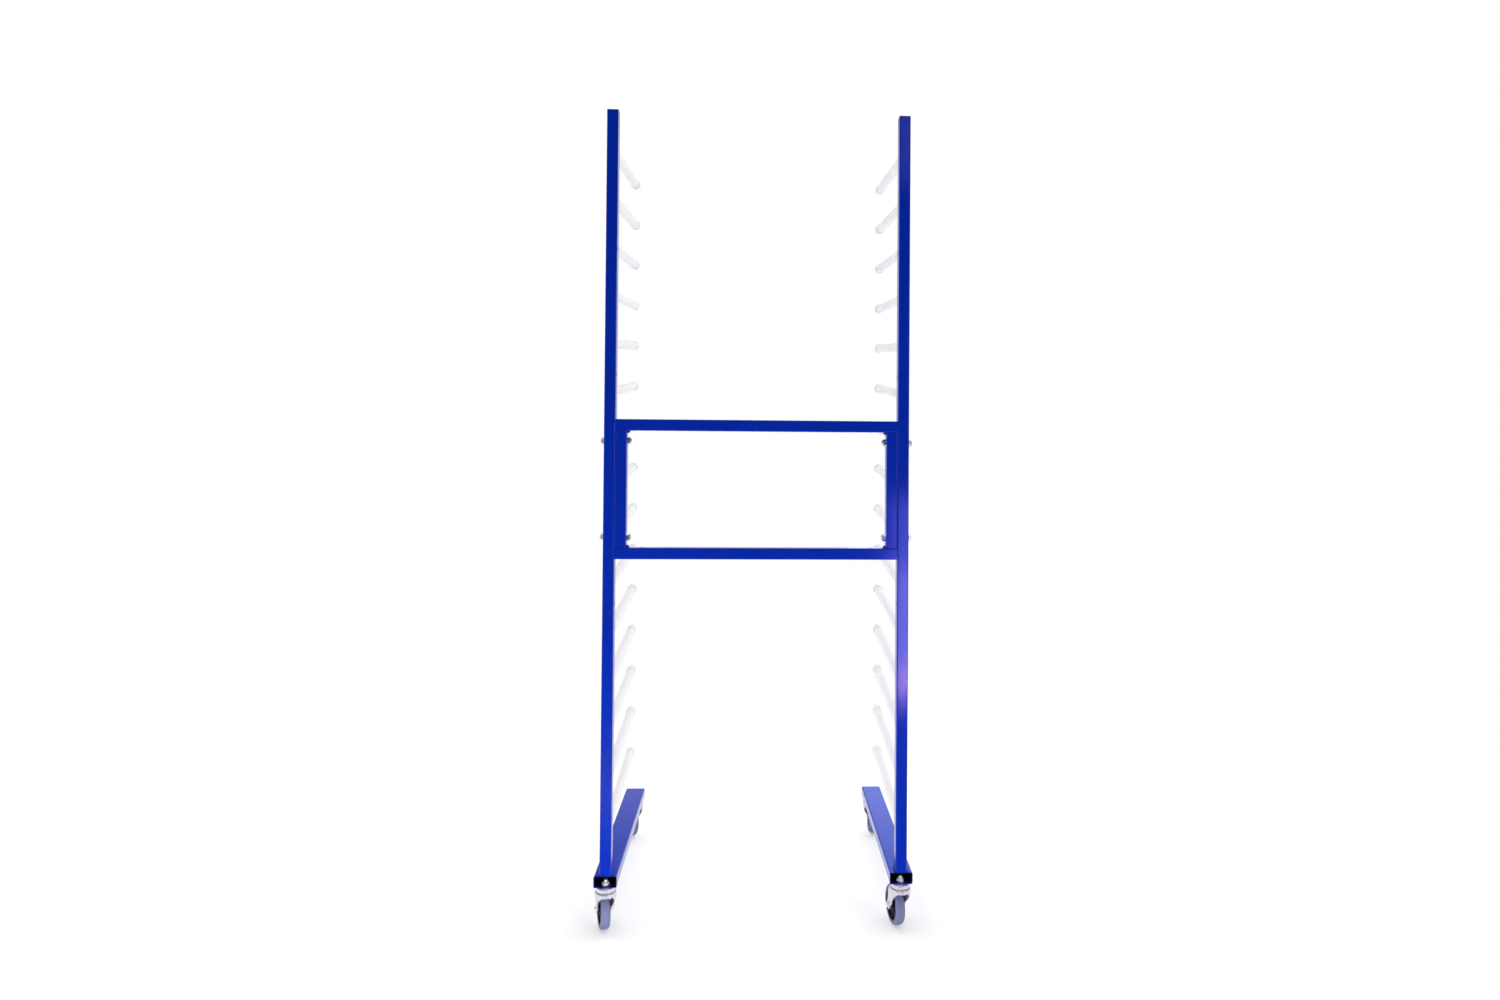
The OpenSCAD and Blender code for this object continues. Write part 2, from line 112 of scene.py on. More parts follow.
class RackDetails(bpy.types.PropertyGroup):
    """Sizes of the round edges, weld beads and threads."""

    coat_edge: length("Coat edge", "Round edge that the powder coat leaves on a cut tube", 0.5 * MM)
    moulded_edge: length("Moulded edge", "Round edge on a moulded plastic part", 0.6 * MM)
    turned_edge: length("Turned edge", "Round edge on a bolt, nut or washer", 0.25 * MM)
    pressed_edge: length("Pressed edge", "Round edge on pressed sheet steel", 0.5 * MM)
    edge_steps: IntProperty(
        name="Edge steps", description="Faces across a round edge", min=1, max=6, default=2
    )
    corner_bead: length("Corner bead", "Leg of the weld beads that join two tubes", 4.6 * MM)
    ring_bead: length("Ring bead", "Leg of the weld bead round an arm's root", 2.4 * MM)
    bead_ripple: length("Bead ripple", "Distance between the ripples of a weld bead", 1.6 * MM)
    thread_crest: length("Thread crest", "Radius over the threads of the castors' bolts", 5.2 * MM)
    thread_pitch: length("Thread pitch", "Pitch of the castors' M10 bolts", 1.5 * MM)


class RackStudio(bpy.types.PropertyGroup):
    """Camera and lamps."""

    eye: FloatVectorProperty(
        name="Camera place",
        description="Where the camera stands",
        subtype="TRANSLATION",
        unit="LENGTH",
        size=3,
        default=(-0.0134, UPRIGHT_FOOT.y - 2.3206, UPRIGHT_FOOT.z + 1.0979),
    )
    turn: FloatProperty(
        name="Turn", description="Camera's heading from +Y", subtype="ANGLE", default=math.radians(-2.395)
    )
    tilt: FloatProperty(
        name="Tilt", description="Camera's tilt above level", subtype="ANGLE", default=math.radians(0.819)
    )
    roll: FloatProperty(
        name="Roll", description="Camera's roll", subtype="ANGLE", default=math.radians(0.417)
    )
    lens: FloatProperty(
        name="Lens", description="Focal length for the sensor's width", unit="CAMERA", default=21.25
    )
    shift: FloatVectorProperty(
        name="Shift", description="Lens shift", size=2, default=(-0.0263, -0.0400)
    )
    front_air: FloatProperty(
        name="Front air", description="Strength of the light from the room in front", min=0, default=0.24
    )
    back_air: FloatProperty(
        name="Back air", description="Strength of the light from the bright backdrop", min=0, default=1.4
    )


# ---- Shader building ----


class Wire:
    """A shader value that takes part in Python expressions; each sign adds its Math node."""

    def __init__(self, finish, socket):
        self.finish = finish
        self.socket = socket

    def _math(self, operation, first, second):
        return self.finish.node("ShaderNodeMath", {"operation": operation}, {0: first, 1: second})

    def __add__(self, other):
        return self._math("ADD", self, other)

    def __radd__(self, other):
        return self._math("ADD", other, self)

    def __sub__(self, other):
        return self._math("SUBTRACT", self, other)

    def __rsub__(self, other):
        return self._math("SUBTRACT", other, self)

    def __mul__(self, other):
        return self._math("MULTIPLY", self, other)

    def __rmul__(self, other):
        return self._math("MULTIPLY", other, self)

    def __abs__(self):
        return self._math("ABSOLUTE", self, 0)


class NodeTree:
    """Adds nodes to a shader tree."""

    def __init__(self, tree):
        self.tree = tree
        self.tree.nodes.clear()

    def node(self, kind, settings=None, inputs=None, output=0):
        """Adds a node: its settings first, then the values or links of its sockets."""
        node = self.tree.nodes.new(kind)
        for name, value in (settings or {}).items():
            setattr(node, name, value)
        for name, value in (inputs or {}).items():
            socket = node.inputs[name]
            if isinstance(value, Wire):
                self.tree.links.new(value.socket, socket)
            elif getattr(socket, "type", "") == "RGBA" and len(value) == 3:
                socket.default_value = (*value, 1)
            else:
                socket.default_value = value
        return Wire(self, node.outputs[output]) if node.outputs else None

    def here(self):
        """Object coordinates, in metres."""
        return self.node("ShaderNodeTexCoord", output="Object")

    def place(self, stretch=(1, 1, 1)):
        """Object coordinates, stretched."""
        return self.node("ShaderNodeMapping", {}, {"Vector": self.here(), "Scale": stretch})

    def axes(self, vector):
        """The three numbers of a vector."""
        return [
            self.node("ShaderNodeSeparateXYZ", {}, {"Vector": vector}, output=axis) for axis in "XYZ"
        ]

    def rays(self, kind):
        """1 on rays of a kind, and 0 on others."""
        return self.node("ShaderNodeLightPath", output=f"Is {kind} Ray")

    def seen_rays(self):
        """Masks of the rays that come straight from the camera, and off a gloss or through glass."""
        return self.rays("Camera"), self.rays("Glossy") + self.rays("Transmission")

    def noise(self, place, size, detail=2.0, rough=0.5):
        """Soft noise from 0 to 1 whose lumps are about size metres across."""
        return self.node(
            "ShaderNodeTexNoise",
            {},
            {"Vector": place, "Scale": 1 / size, "Detail": detail, "Roughness": rough},
        )

    def between(self, value, low, high):
        """Value spread from low..high over 0..1, and held there."""
        return self.node(
            "ShaderNodeMapRange",
            {"interpolation_type": "SMOOTHSTEP"},
            {"Value": value, "From Min": low, "From Max": high},
        )

    def blend(self, amount, first, second):
        """Colour between first and second."""
        return self.node(
            "ShaderNodeMix",
            {"data_type": "RGBA", "clamp_factor": True},
            {0: amount, 6: first, 7: second},
            output=2,
        )

    def bump(self, height, depth, below=None):
        """Normals of a surface whose height from 0 to 1 is depth metres."""
        inputs = {"Height": height, "Distance": depth, "Strength": 1.0}
        if below is not None:
            inputs["Normal"] = below
        return self.node("ShaderNodeBump", {}, inputs)


class Finish(NodeTree):
    """A material that is being put together."""

    def __init__(self, name):
        self.material = bpy.data.materials.new(name)
        self.material.use_nodes = True
        super().__init__(self.material.node_tree)

    def surface(self, **sockets):
        """Ends the material with a Principled surface; underscores stand for spaces."""
        inputs = {name.replace("_", " "): value for name, value in sockets.items()}
        shader = self.node("ShaderNodeBsdfPrincipled", {}, inputs)
        self.node("ShaderNodeOutputMaterial", {}, {"Surface": shader})
        return self.material


def shade(base, amount):
    """A colour made lighter or darker."""
    return tuple(min(1.0, c * amount) for c in base)


# ---- Finishes ----

# Bare steel inside the foot beams' ends, near-black: painted shade deep inside the open tubes
SHADED_BARE_STEEL = (0.006, 0.006, 0.008)
WORN_BLUE = (0.004, 0.026, 0.34)
FLOOR_DUST = (0.055, 0.055, 0.062)


def foot_beam_ends(m):
    """Masks of the foot beams' cut rims, and of their inner walls past the reach of the powder, which are
    painted near-black for the shade deep inside the open ends.
    """
    low, high = box_corners("left_foot_beam")
    middle, half = (low + high) / 2, (high - low) / 2
    x, y, z = m.axes(m.here())
    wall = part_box("castor_mounting_nuts")[0][2] - low.z
    narrow = m.between(half.x - abs(abs(x) - abs(middle.x)), 0.6 * wall, 0.9 * wall)
    shallow = m.between(half.z - abs(z - middle.z), 0.6 * wall, 0.9 * wall)
    depth = half.y - abs(y - middle.y)
    rim = m.between(depth, 1.6 * MM, 0.7 * MM)
    below_top = m.between(half.z - abs(z - middle.z), 0.2 * MM, 0.9 * MM)
    return rim * below_top, narrow * shallow * m.between(depth, 4 * MM, 16 * MM)


def powder_coat(base):
    """Glossy powder coat: fine orange peel over slow drifts in film thickness."""
    m = Finish("blue_powder_coat")
    rim, bare_and_shaded = foot_beam_ends(m)
    here = m.place()
    peel = m.noise(here, 2.6 * MM, 2.0, 0.45)
    grain = m.noise(here, 0.7 * MM, 1.0)
    drift = m.noise(here, 180 * MM, 3.0)
    handling = m.between(m.noise(here, 38 * MM, 5.0, 0.62), 0.52, 0.74)
    film = m.blend(drift, shade(base, 0.86), shade(base, 1.16))
    dulled = m.blend(handling * 0.16, film, WORN_BLUE)
    # The foot beams' cut rims, below their top edge, are made much darker
    rim_darkened = m.blend(rim, dulled, shade(base, 0.2))
    return m.surface(
        # Past the mouths of the foot beams the coat turns to bare steel, painted near-black as the shade
        # deep inside
        Base_Color=m.blend(bare_and_shaded, rim_darkened, SHADED_BARE_STEEL),
        Roughness=0.12 + 0.04 * drift + 0.06 * handling + 0.4 * bare_and_shaded,
        Specular_IOR_Level=0.42,
        Normal=m.bump(peel + 0.25 * grain, 0.016 * MM),
    )


def sleeve_plastic(base):
    """Smooth extruded tube: faint lines along it and slow drifts in its tint."""
    m = Finish("white_sleeve")
    drawn = m.noise(m.place(stretch=(1, 0.012, 1)), 1.3 * MM, 2.0)
    drift = m.noise(m.place(), 90 * MM, 2.0)
    tint = m.blend(drift, shade(base, 0.975), shade(base, 1.02))
    return m.surface(
        Base_Color=tint,
        Roughness=0.34 + 0.08 * drawn,
        Specular_IOR_Level=0.4,
        Normal=m.bump(drawn, 0.012 * MM),
    )


def cap_plastic(base):
    """Soft moulded cap with a fine spark-eroded grain."""
    m = Finish("grey_cap")
    grain = m.noise(m.place(), 0.55 * MM, 3.0, 0.6)
    cloud = m.noise(m.place(), 14 * MM, 2.0)
    return m.surface(
        Base_Color=m.blend(cloud, shade(base, 0.94), shade(base, 1.05)),
        Roughness=0.46 + 0.12 * grain,
        Normal=m.bump(grain, 0.03 * MM),
    )


def plug_plastic(base):
    """Black moulded plug with a slight gloss."""
    m = Finish("black_plug")
    grain = m.noise(m.place(), 0.8 * MM, 3.0)
    scuff = m.between(m.noise(m.place(), 9 * MM, 4.0, 0.6), 0.55, 0.75)
    return m.surface(
        Base_Color=m.blend(scuff * 0.3, base, shade(base, 2.6)),
        Roughness=0.17 + 0.18 * scuff + 0.06 * grain,
        Specular_IOR_Level=0.5,
        Normal=m.bump(grain, 0.012 * MM),
    )


def plated_steel(name, base, lump, dull, metal):
    """Zinc plate: cloudy crystals, a faint warm and cool play of colour, and fine scratches."""
    m = Finish(name)
    here = m.place()
    crystals = m.node(
        "ShaderNodeTexVoronoi", {"feature": "SMOOTH_F1"}, {"Vector": here, "Scale": 1 / lump}
    )
    cloud = m.noise(here, 6 * lump, 3.0)
    scratches = m.noise(m.place(stretch=(1, 1, 0.06)), 0.5 * MM, 2.0)
    warm = (min(1, base[0] * 1.04), base[1] * 0.98, base[2] * 0.95)
    cool = (base[0] * 0.93, base[1] * 0.95, min(1, base[2] * 1.03))
    return m.surface(
        Base_Color=m.blend(cloud, cool, warm),
        Metallic=metal,
        Roughness=dull + 0.06 * crystals + 0.10 * cloud,
        Normal=m.bump(0.5 * crystals + 0.5 * scratches, 0.004 * MM),
    )


def chrome_plate(base):
    """Bright chrome with the softest orange peel."""
    m = Finish("chrome_nut")
    smear = m.noise(m.place(), 4 * MM, 3.0)
    return m.surface(
        Base_Color=m.blend(smear, shade(base, 0.96), base),
        Metallic=0.85,
        Roughness=0.05 + 0.08 * smear,
        Normal=m.bump(smear, 0.004 * MM),
    )


def wheel_plastic(base):
    """Moulded black wheel centre, with floor dust in its finest grain."""
    m = Finish("black_wheel_core")
    grain = m.noise(m.place(), 0.9 * MM, 4.0, 0.6)
    dust = m.between(m.noise(m.place(), 7 * MM, 5.0, 0.65), 0.50, 0.80)
    return m.surface(
        Base_Color=m.blend(dust * 0.35, base, FLOOR_DUST),
        Roughness=0.38 + 0.20 * dust,
        Normal=m.bump(grain, 0.02 * MM),
    )


def tyre_rubber(base):
    """Grey thermoplastic tyre: satin, with rolled-on marks."""
    m = Finish("grey_tyre")
    here = m.place()
    marks = m.between(m.noise(here, 5 * MM, 5.0, 0.68), 0.50, 0.78)
    cloud = m.noise(here, 30 * MM, 2.0)
    grain = m.noise(here, 0.7 * MM, 2.0)
    clean = m.blend(cloud, shade(base, 0.90), shade(base, 1.10))
    return m.surface(
        Base_Color=m.blend(marks * 0.28, clean, shade(base, 0.55)),
        Roughness=0.50 + 0.16 * marks,
        Specular_IOR_Level=0.4,
        Normal=m.bump(grain + 0.6 * marks, 0.02 * MM),
    )


# What makes each of the record's finishes, and those made so far
MAKERS = {
    "blue_powder_coat": lambda f: powder_coat(f.tube_blue),
    "white_sleeve": lambda f: sleeve_plastic(f.sleeve_white),
    "grey_cap": lambda f: cap_plastic(f.cap_grey),
    "black_plug": lambda f: plug_plastic(f.plug_black),
    "zinc_hardware": lambda f: plated_steel("zinc_hardware", f.zinc, 1.6 * MM, 0.16, 0.45),
    "chrome_nut": lambda f: chrome_plate(f.chrome),
    "zinc_castor": lambda f: plated_steel("zinc_castor", f.castor_zinc, 2.4 * MM, 0.20, 0.7),
    "black_wheel_core": lambda f: wheel_plastic(f.wheel_black),
    "grey_tyre": lambda f: tyre_rubber(f.tyre_grey),
}
MADE = {}


def finish(slot):
    """The material of one of the record's slots, made when it is first needed."""
    if slot not in MADE:
        MADE[slot] = MAKERS[slot](bpy.context.scene.rack_finishes)
    return MADE[slot]


# ---- Shapes ----

# Points of a copied mesh that are closer than this become one
JOIN_GAP = 0.002 * MM
# Faces of it that meet at less than this angle become one
FLAT_ANGLE = math.radians(0.4)
# Edges of it that are sharper than this are rounded
SHARP_ANGLE = math.radians(28)
# How far a corner bead reaches either side of its joint's middle, in legs of the bead
BEAD_REACH = 2.2
# Size of the cross frame's beads over that of the beads at the uprights' feet
FRAME_BEAD = 1.3
# Angle by which the wandering width of a bead moves on from ring to ring
BEAD_WANDER = 2.3


def piece(name, shape, node):
    """Makes a finished bmesh an object that rides with a node and shares its finish."""
    slot = SLOT_OF[node]
    mesh = bpy.data.meshes.new(name)
    shape.to_mesh(mesh)
    shape.free()
    mesh.shade_smooth()
    mesh.set_sharp_from_angle(angle=SMOOTH_ANGLE)
    mesh.materials.append(finish(slot))
    obj = bpy.data.objects.new(name, mesh)
    bpy.context.scene.collection.objects.link(obj)
    flat = obj.modifiers.new("Even shading", "WEIGHTED_NORMAL")
    flat.keep_sharp = True
    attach(obj, BODY_OF[node])
    return obj


def welded_copy(node):
    """A copy of a node's mesh with its loose triangles joined and its flat faces made whole."""
    shape = bmesh.new()
    shape.from_mesh(frame["nodes"][node].data)
    bmesh.ops.remove_doubles(shape, verts=shape.verts, dist=JOIN_GAP)
    bmesh.ops.dissolve_limit(shape, angle_limit=FLAT_ANGLE, verts=shape.verts, edges=shape.edges)
    return shape


def soften(shape, width, steps):
    """Rounds every sharp edge."""
    sharp = [e for e in shape.edges if e.is_manifold and e.calc_face_angle() > SHARP_ANGLE]
    bmesh.ops.bevel(
        shape,
        geom=sharp,
        offset=width,
        offset_type="OFFSET",
        segments=steps,
        profile=0.5,
        affect="EDGES",
        clamp_overlap=True,
        material=-1,
    )


def dress(node, width):
    """Puts a soft-edged copy in place of a node."""
    shape = welded_copy(node)
    soften(shape, width, bpy.context.scene.rack_details.edge_steps)
    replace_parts(piece(f"{node}_dressed", shape, node), node)


def refinish(node):
    """Gives a node that stays as it is its full finish."""
    mesh = frame["nodes"][node].data
    mesh.materials.clear()
    mesh.materials.append(finish(SLOT_OF[node]))


def bead(shape, start, move, steps, leg, closed=False, sides=10, dip=0.08, drift=0.04):
    """Adds a rippled bead: a ring of points that moves on by one step at a time.

    Every other ring is narrower by dip, and drift lets the width wander."""
    centre = Vector(start)
    heading = (move @ centre - centre).to_track_quat("Z", "Y").to_matrix().to_4x4()
    place = Matrix.Translation(centre) @ heading
    ring = bmesh.ops.create_circle(shape, segments=sides, radius=leg, matrix=place)["verts"]
    edges = list({edge for vert in ring for edge in vert.link_edges})
    first = edges
    size = 1.0
    for step in range(steps):
        made = bmesh.ops.extrude_edge_only(shape, edges=edges)["geom"]
        ring = [part for part in made if isinstance(part, bmesh.types.BMVert)]
        edges = [part for part in made if isinstance(part, bmesh.types.BMEdge) and part.is_boundary]
        bmesh.ops.transform(shape, matrix=move, verts=ring)
        centre = move @ centre
        last = closed and step == steps - 1
        swell = 1.0 if last else 1.0 - dip * (step % 2) + drift * math.sin(BEAD_WANDER * step)
        bmesh.ops.scale(
            shape, vec=[swell / size] * 3, space=Matrix.Translation(-centre), verts=ring
        )
        size = swell
    if closed:
        bmesh.ops.remove_doubles(shape, verts=shape.verts, dist=0.001 * MM)
    else:
        bmesh.ops.holes_fill(shape, edges=first + edges, sides=0)


def straight_bead(shape, start, end, leg):
    """Adds a weld bead along a straight corner."""
    way = Vector(end) - Vector(start)
    steps = round(2 * way.length / bpy.context.scene.rack_details.bead_ripple)
    bead(shape, start, Matrix.Translation(way / steps), steps, leg)


def round_bead(shape, middle, axis, radius, leg):
    """Adds a weld bead round a bar."""
    steps = 2 * round(math.tau * radius / bpy.context.scene.rack_details.bead_ripple)
    turn = Matrix.Rotation(math.tau / steps, 4, axis)
    move = Matrix.Translation(middle) @ turn @ Matrix.Translation(-middle)
    bead(shape, middle + Vector((radius, 0, 0)), move, steps, leg, closed=True)


def arm_roots(side):
    """Radius of the arms' roots on one side, and their middles on the back of the upright."""
    low, high = box_corners(f"{side}_arm_bars")
    collar = (high.x - low.x) / 2
    sleeves = sorted(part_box(node)[0][2] for node in nodes_in("white_sleeve"))
    lowest = Vector(((low.x + high.x) / 2, low.y, low.z + collar))
    return collar, [lowest + Vector((0, 0, z - sleeves[0])) for z in sleeves]


def bead_piece(name, shape, node):
    """Makes finished beads a piece on a node, with all their faces outwards."""
    bmesh.ops.recalc_face_normals(shape, faces=shape.faces)
    piece(name, shape, node)


def foot_welds(leg):
    """Lays a bead on the two sides and the back of each upright's foot."""
    reach = BEAD_REACH * leg
    beads = bmesh.new()
    for upright in ("left_upright", "right_upright"):
        low, high = box_corners(upright)
        middle = (low + high) / 2
        for x in (low.x, high.x):
            ends = [(x, middle.y + s * reach, low.z) for s in (-1, 1)]
            straight_bead(beads, *ends, leg)
        ends = [(middle.x + s * reach, high.y, low.z) for s in (-1, 1)]
        straight_bead(beads, *ends, leg)
    bead_piece("foot_weld_beads", beads, "left_upright")


def frame_welds(leg):
    """Lays a bead in each inner corner of the cross frame."""
    reach = BEAD_REACH * leg
    beads = bmesh.new()
    inner_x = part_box("frame_right_post")[0][0]
    top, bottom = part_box("frame_top_rail")[0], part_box("frame_bottom_rail")[1]
    middle_y = (top[1] + bottom[1]) / 2
    for x in (-inner_x, inner_x):
        for z in (top[2], bottom[2]):
            ends = [(x, middle_y + s * reach, z) for s in (-1, 1)]
            straight_bead(beads, *ends, FRAME_BEAD * leg)
    bead_piece("frame_weld_beads", beads, "frame_top_rail")


def arm_welds(side, leg):
    """Lays a bead round the root of each arm on one side: the first is made, the rest are copies."""
    beads = bmesh.new()
    collar, roots = arm_roots(side)
    round_bead(beads, roots[0], Vector((0, 1, 0)), collar, leg)
    first = beads.verts[:] + beads.edges[:] + beads.faces[:]
    for root in roots[1:]:
        copied = bmesh.ops.duplicate(beads, geom=first)["geom"]
        moved = [part for part in copied if isinstance(part, bmesh.types.BMVert)]
        bmesh.ops.translate(beads, vec=root - roots[0], verts=moved)
    bead_piece(f"{side}_arm_weld_beads", beads, f"{side}_arm_bars")


def bolt_threads(crest, pitch):
    """Threads the ends of the castors' mounting bolts, from their nuts up."""
    threads = bmesh.new()
    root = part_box("castor_mounting_nuts")[1][2]
    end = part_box("castor_mounting_bolts")[1][2]
    steps = round(2 * (end - root) / pitch) - 1
    move = Matrix.Translation((0, 0, pitch / 2))
    for swivel in SWIVELS:
        start = (swivel.x, swivel.y, root)
        bead(threads, start, move, steps, crest, sides=24, dip=0.09, drift=0)
    bead_piece("mounting_bolt_threads", threads, "castor_mounting_bolts")


# ---- Studio ----

# Width of the camera's sensor, in millimetres
SENSOR_WIDTH = 36
# Where the lamps that light the whole rack aim
RACK_MIDDLE = (0, 0, 1.0)
# These lamps: place, size and watts
LAMPS = {
    "key_right": ((3.2, -3.4, 1.9), (1.4, 1.8), 33),
    "fill_left": ((-3.2, -3.0, 2.0), (1.4, 1.8), 8),
    "top": ((0, 0.2, 4.2), (2.6, 2.2), 34),
}
# A low lamp that lights the castors from in front: place, aim, size and watts
LOW_FRONT = ((-0.35, -1.25, 0.07), (-0.35, 0, 0.25), (1.3, 0.12), 9)
# Violet bands that shine in the front of the right upright: lowest and highest point, watts and tint
VIOLET_BANDS = (
    (0.19, 0.34, 1.45, (0.85, 0.5, 1.0)),
    (0.34, 0.76, 3.6, (0.40, 0.33, 1.0)),
    (0.76, 1.06, 1.5, (0.25, 0.22, 1.0)),
    (2.45, 2.90, 0.5, (0.45, 0.35, 1.0)),
)
# Their place across and along the room, and their width
VIOLET_PLACE = (0.70, -1.84)
VIOLET_WIDTH = 0.20
# Blue cards that shine in the tops of the foot beams: place across the room and watts
BLUE_CARDS = ((-0.95, 1.4), (0.95, 4.0))
# Their place along the room and height, their size and their tint
BLUE_PLACE = (3.0, 1.35)
BLUE_SIZE = (0.7, 1.1)
BLUE_TINT = (0.22, 0.33, 1.0)
# Flags that take the room in front out of the gloss: size, place and tilt from lying flat
FLAGS = {
    "flag": ((9, 5), (0, -5.5, 2.2), math.pi / 2),
    "low_flag": ((5, 4.9), (0, -3.05, 4 * MM), 0),
}
FLOOR_SIZE = (60, 60)
FLOOR_WHITE = (0.80, 0.80, 0.80)
# Distances from the rack's middle over which the floor's shadow gives way to plain white
SHADOW_FADE = (0.9, 2.2)


def stand_camera(s):
    """Stands the camera at its place and heading."""
    camera = bpy.data.cameras.new("camera")
    camera.lens = s.lens
    camera.sensor_width = SENSOR_WIDTH
    camera.shift_x, camera.shift_y = s.shift
    eye = bpy.data.objects.new("camera", camera)
    turned = Matrix.Rotation(s.turn, 4, "Z") @ Matrix.Rotation(math.pi / 2 + s.tilt, 4, "X")
    eye.matrix_world = Matrix.Translation(s.eye) @ turned @ Matrix.Rotation(s.roll, 4, "Z")
    bpy.context.scene.collection.objects.link(eye)
    bpy.context.scene.camera = eye


def lamp(name, place, aim, size, watts, tint=(1, 1, 1), lights=True, shines=True):
    """A soft rectangular lamp that lights surfaces, shines in their gloss, or both."""
    light = bpy.data.lights.new(name, "AREA")
    light.shape = "RECTANGLE"
    light.size, light.size_y = size
    light.energy = watts
    light.color = tint
    obj = bpy.data.objects.new(name, light)
    obj.location = place
    obj.rotation_euler = (Vector(aim) - Vector(place)).to_track_quat("-Z", "Y").to_euler()
    obj.visible_camera = False
    obj.visible_diffuse = lights
    obj.visible_glossy = shines
    bpy.context.scene.collection.objects.link(obj)


def flat_card(name, size, matrix, material):
    """A flat rectangle of the studio."""
    shape = bmesh.new()
    bmesh.ops.create_grid(shape, x_segments=1, y_segments=1, size=0.5)
    bmesh.ops.scale(shape, vec=(size[0], size[1], 1), verts=shape.verts)
    bmesh.ops.transform(shape, matrix=matrix, verts=shape.verts)
    mesh = bpy.data.meshes.new(name)
    shape.to_mesh(mesh)
    shape.free()
    mesh.materials.append(material)
    obj = bpy.data.objects.new(name, mesh)
    bpy.context.scene.collection.objects.link(obj)
    return obj


def floor_paper():
    """White paper that keeps the rack's shadow near it and is plain white further off."""
    m = Finish("floor_paper")
    eye, gloss = m.seen_rays()
    seen = eye + gloss
    away = m.node("ShaderNodeVectorMath", {"operation": "LENGTH"}, {0: m.here()}, output="Value")
    paper = m.node("ShaderNodeBsdfDiffuse", {}, {"Color": FLOOR_WHITE})
    glow = m.node("ShaderNodeEmission", {}, {"Color": (1, 1, 1), "Strength": 0.30 * seen})
    lifted = m.node("ShaderNodeAddShader", {}, {0: paper, 1: glow})
    white = m.node("ShaderNodeEmission", {}, {"Color": (1, 1, 1), "Strength": 1.0})
    far = m.between(away, *SHADOW_FADE) * seen
    mixed = m.node("ShaderNodeMixShader", {}, {0: far, 1: lifted, 2: white})
    m.node("ShaderNodeOutputMaterial", {}, {"Surface": mixed})
    return m.material


def flag_cloth():
    """Black velvet of the flags."""
    m = Finish("flag_cloth")
    black = m.node("ShaderNodeBsdfDiffuse", {}, {"Color": (0, 0, 0)})
    m.node("ShaderNodeOutputMaterial", {}, {"Surface": black})
    return m.material


def studio_air(front, back):
    """White for the eye; for the rack, a bright backdrop behind it and a dimmer room in front."""
    world = bpy.data.worlds.new("studio")
    bpy.context.scene.world = world
    world.use_nodes = True
    m = NodeTree(world.node_tree)
    eye, gloss = m.seen_rays()
    right, forward, up = m.axes(m.node("ShaderNodeTexCoord", output="Generated"))
    behind = m.between(forward, -0.35, 0.25)
    lit = front + (back - front) * behind
    # In the gloss the backdrop dims upwards and towards the left
    dim = 0.8 * m.between(up, 0.30, 0.46) + 0.35 * m.between(-1 * right, -0.2, 0.2)
    shown = 0.04 + 0.96 * behind * (1 - m.between(dim, 0, 1.2))
    strength = eye + gloss * shown + (1 - eye - gloss) * lit
    light = m.node("ShaderNodeBackground", {}, {"Color": (1, 1, 1), "Strength": strength})
    m.node("ShaderNodeOutputWorld", {}, {"Surface": light})


def hang_flags():
    """Hangs the flags, which nothing but the gloss sees."""
    cloth = flag_cloth()
    for name, (size, place, tilt) in FLAGS.items():
        hung = Matrix.Translation(place) @ Matrix.Rotation(tilt, 4, "X")
        flag = flat_card(name, size, hung, cloth)
        flag.visible_camera = False
        flag.visible_diffuse = False
        flag.visible_shadow = False


def hang_lamps():
    """Hangs the lamps that light the rack, and those that only shine in its gloss."""
    for name, (place, size, watts) in LAMPS.items():
        lamp(name, place, RACK_MIDDLE, size, watts)
    lamp("low_front", *LOW_FRONT, shines=False)
    for low, high, watts, tint in VIOLET_BANDS:
        place = Vector((*VIOLET_PLACE, (low + high) / 2))
        size = (VIOLET_WIDTH, high - low)
        aim = place + Vector((0, 1, 0))
        lamp("violet", place, aim, size, watts, tint, lights=False)
    for x, watts in BLUE_CARDS:
        place = Vector((x, *BLUE_PLACE))
        aim = place - Vector((0, 1, 0))
        lamp("blue_shine", place, aim, BLUE_SIZE, watts, BLUE_TINT, lights=False)


# ---- Operators ----


class DressTubes(bpy.types.Operator):
    """Round the cut ends and the holes of every tube, and powder coat it"""

    bl_idname = "rack.dress_tubes"
    bl_label = "Dress tubes"

    def execute(self, context):
        edge = context.scene.rack_details.coat_edge
        for node in nodes_in("blue_powder_coat"):
            if node.endswith("_arm_bars"):
                refinish(node)
            else:
                dress(node, edge)
        return {"FINISHED"}


class DressWelds(bpy.types.Operator):
    """Lay the weld beads at the uprights' feet, in the cross frame's corners and round the arms"""

    bl_idname = "rack.dress_welds"
    bl_label = "Dress welds"

    def execute(self, context):
        details = context.scene.rack_details
        foot_welds(details.corner_bead)
        frame_welds(details.corner_bead)
        for side in ("left", "right"):
            arm_welds(side, details.ring_bead)
        return {"FINISHED"}


class DressArms(bpy.types.Operator):
    """Give the arms their sleeves and end caps"""

    bl_idname = "rack.dress_arms"
    bl_label = "Dress arms"

    def execute(self, context):
        edge = context.scene.rack_details.moulded_edge
        for node in nodes_in("white_sleeve") + nodes_in("grey_cap"):
            dress(node, edge)
        return {"FINISHED"}


class DressPlugs(bpy.types.Operator):
    """Round the moulded plugs in the tube ends"""

    bl_idname = "rack.dress_plugs"
    bl_label = "Dress plugs"

    def execute(self, context):
        for node in nodes_in("black_plug"):
            dress(node, context.scene.rack_details.moulded_edge)
        return {"FINISHED"}


class DressFasteners(bpy.types.Operator):
    """Round the bolts, washers and dome nuts, plate them, and thread the castors' bolt ends"""

    bl_idname = "rack.dress_fasteners"
    bl_label = "Dress fasteners"

    def execute(self, context):
        details = context.scene.rack_details
        for node in nodes_in("zinc_hardware") + nodes_in("chrome_nut"):
            dress(node, details.turned_edge)
        bolt_threads(details.thread_crest, details.thread_pitch)
        return {"FINISHED"}


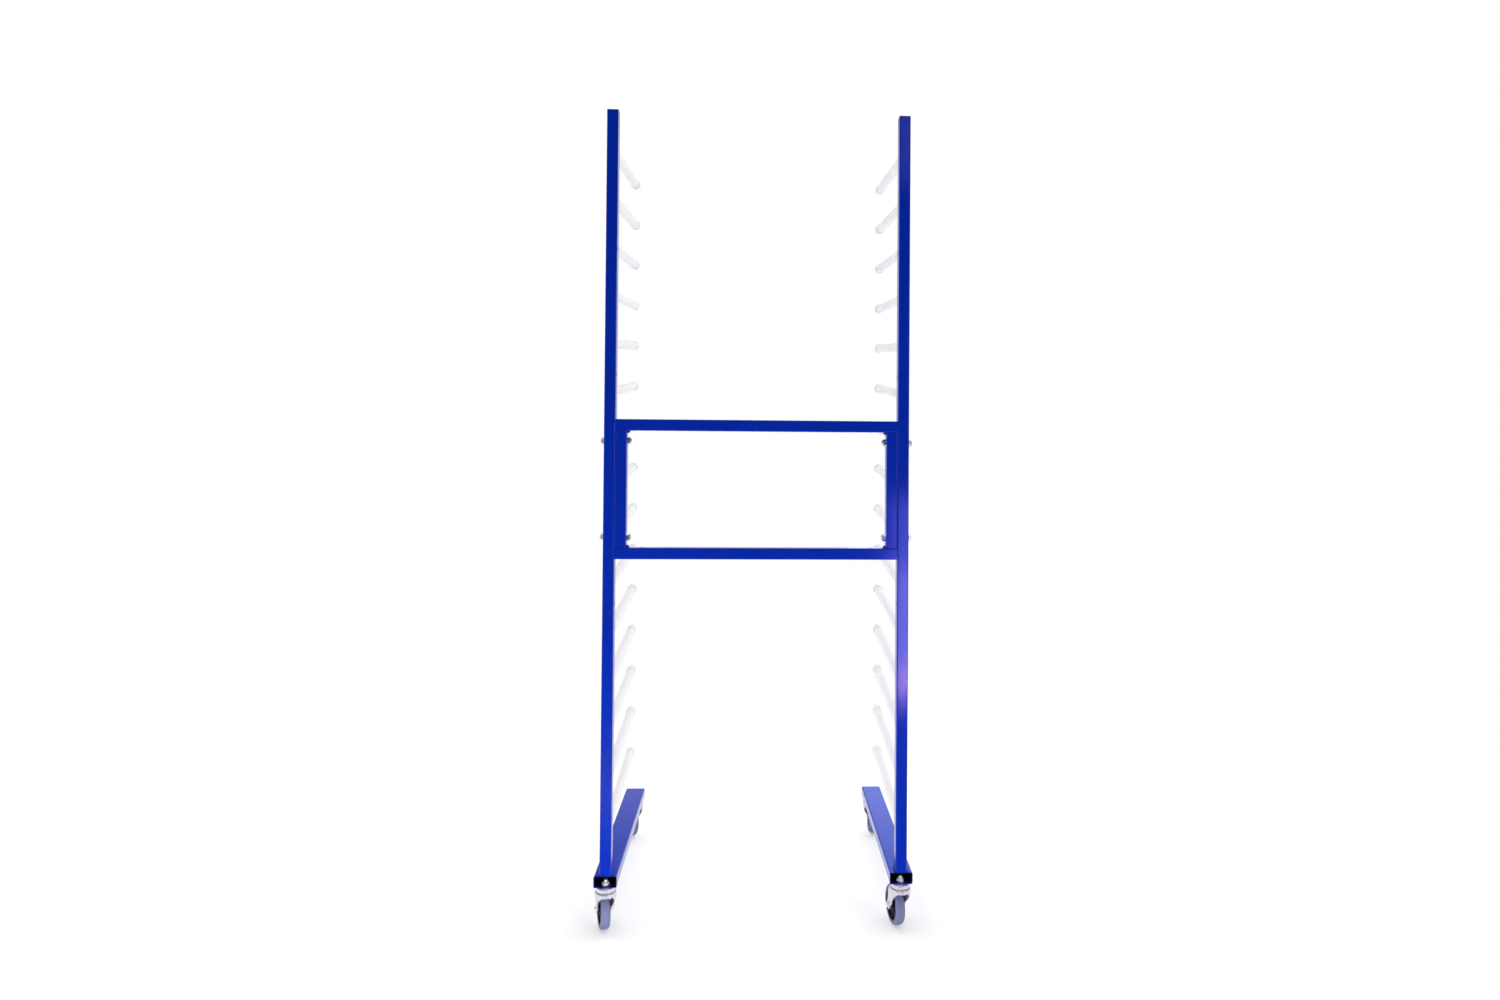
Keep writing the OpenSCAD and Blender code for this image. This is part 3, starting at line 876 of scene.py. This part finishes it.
class DressCastors(bpy.types.Operator):
    """Round the pressed castor parts, wheels and tyres"""

    bl_idname = "rack.dress_castors"
    bl_label = "Dress castors"

    def execute(self, context):
        details = context.scene.rack_details
        for node in nodes_in("zinc_castor"):
            dress(node, details.pressed_edge)
        for node in nodes_in("black_wheel_core") + nodes_in("grey_tyre"):
            dress(node, details.moulded_edge)
        return {"FINISHED"}


class SetStudio(bpy.types.Operator):
    """Set the camera, lamps, white floor and dark flags"""

    bl_idname = "rack.set_studio"
    bl_label = "Set studio"

    def execute(self, context):
        settings = context.scene.rack_studio
        context.scene.view_settings.view_transform = "Standard"
        stand_camera(settings)
        studio_air(settings.front_air, settings.back_air)
        flat_card("floor", FLOOR_SIZE, Matrix.Identity(4), floor_paper())
        hang_flags()
        hang_lamps()
        return {"FINISHED"}


class RackPanel(bpy.types.Panel):
    """Lists the rack's steps"""

    bl_idname = "RACK_PT_steps"
    bl_label = "Drying Rack"
    bl_space_type = "VIEW_3D"
    bl_region_type = "UI"
    bl_category = "Drying Rack"

    def draw(self, context):
        for step in STEPS:
            self.layout.operator(step.bl_idname)
        for group in GROUPS:
            box = self.layout.box()
            settings = getattr(context.scene, group)
            for name in settings.__annotations__:
                box.prop(settings, name)


STEPS = (SetStudio, DressTubes, DressWelds, DressArms, DressPlugs, DressFasteners, DressCastors)
GROUPS = {"rack_finishes": RackFinishes, "rack_details": RackDetails, "rack_studio": RackStudio}


def register():
    """Registers the settings, operators and panel."""
    for kind in (*GROUPS.values(), *STEPS, RackPanel):
        bpy.utils.register_class(kind)
    for name, group in GROUPS.items():
        setattr(bpy.types.Scene, name, PointerProperty(type=group))


def unregister():
    """Takes them off again."""
    for name in GROUPS:
        delattr(bpy.types.Scene, name)
    for kind in reversed((*GROUPS.values(), *STEPS, RackPanel)):
        bpy.utils.unregister_class(kind)


def main():
    """Dresses the rack step by step."""
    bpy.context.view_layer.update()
    register()
    for step in STEPS:
        group, name = step.bl_idname.split(".")
        getattr(getattr(bpy.ops, group), name)()


if __name__ == "__main__":
    main()
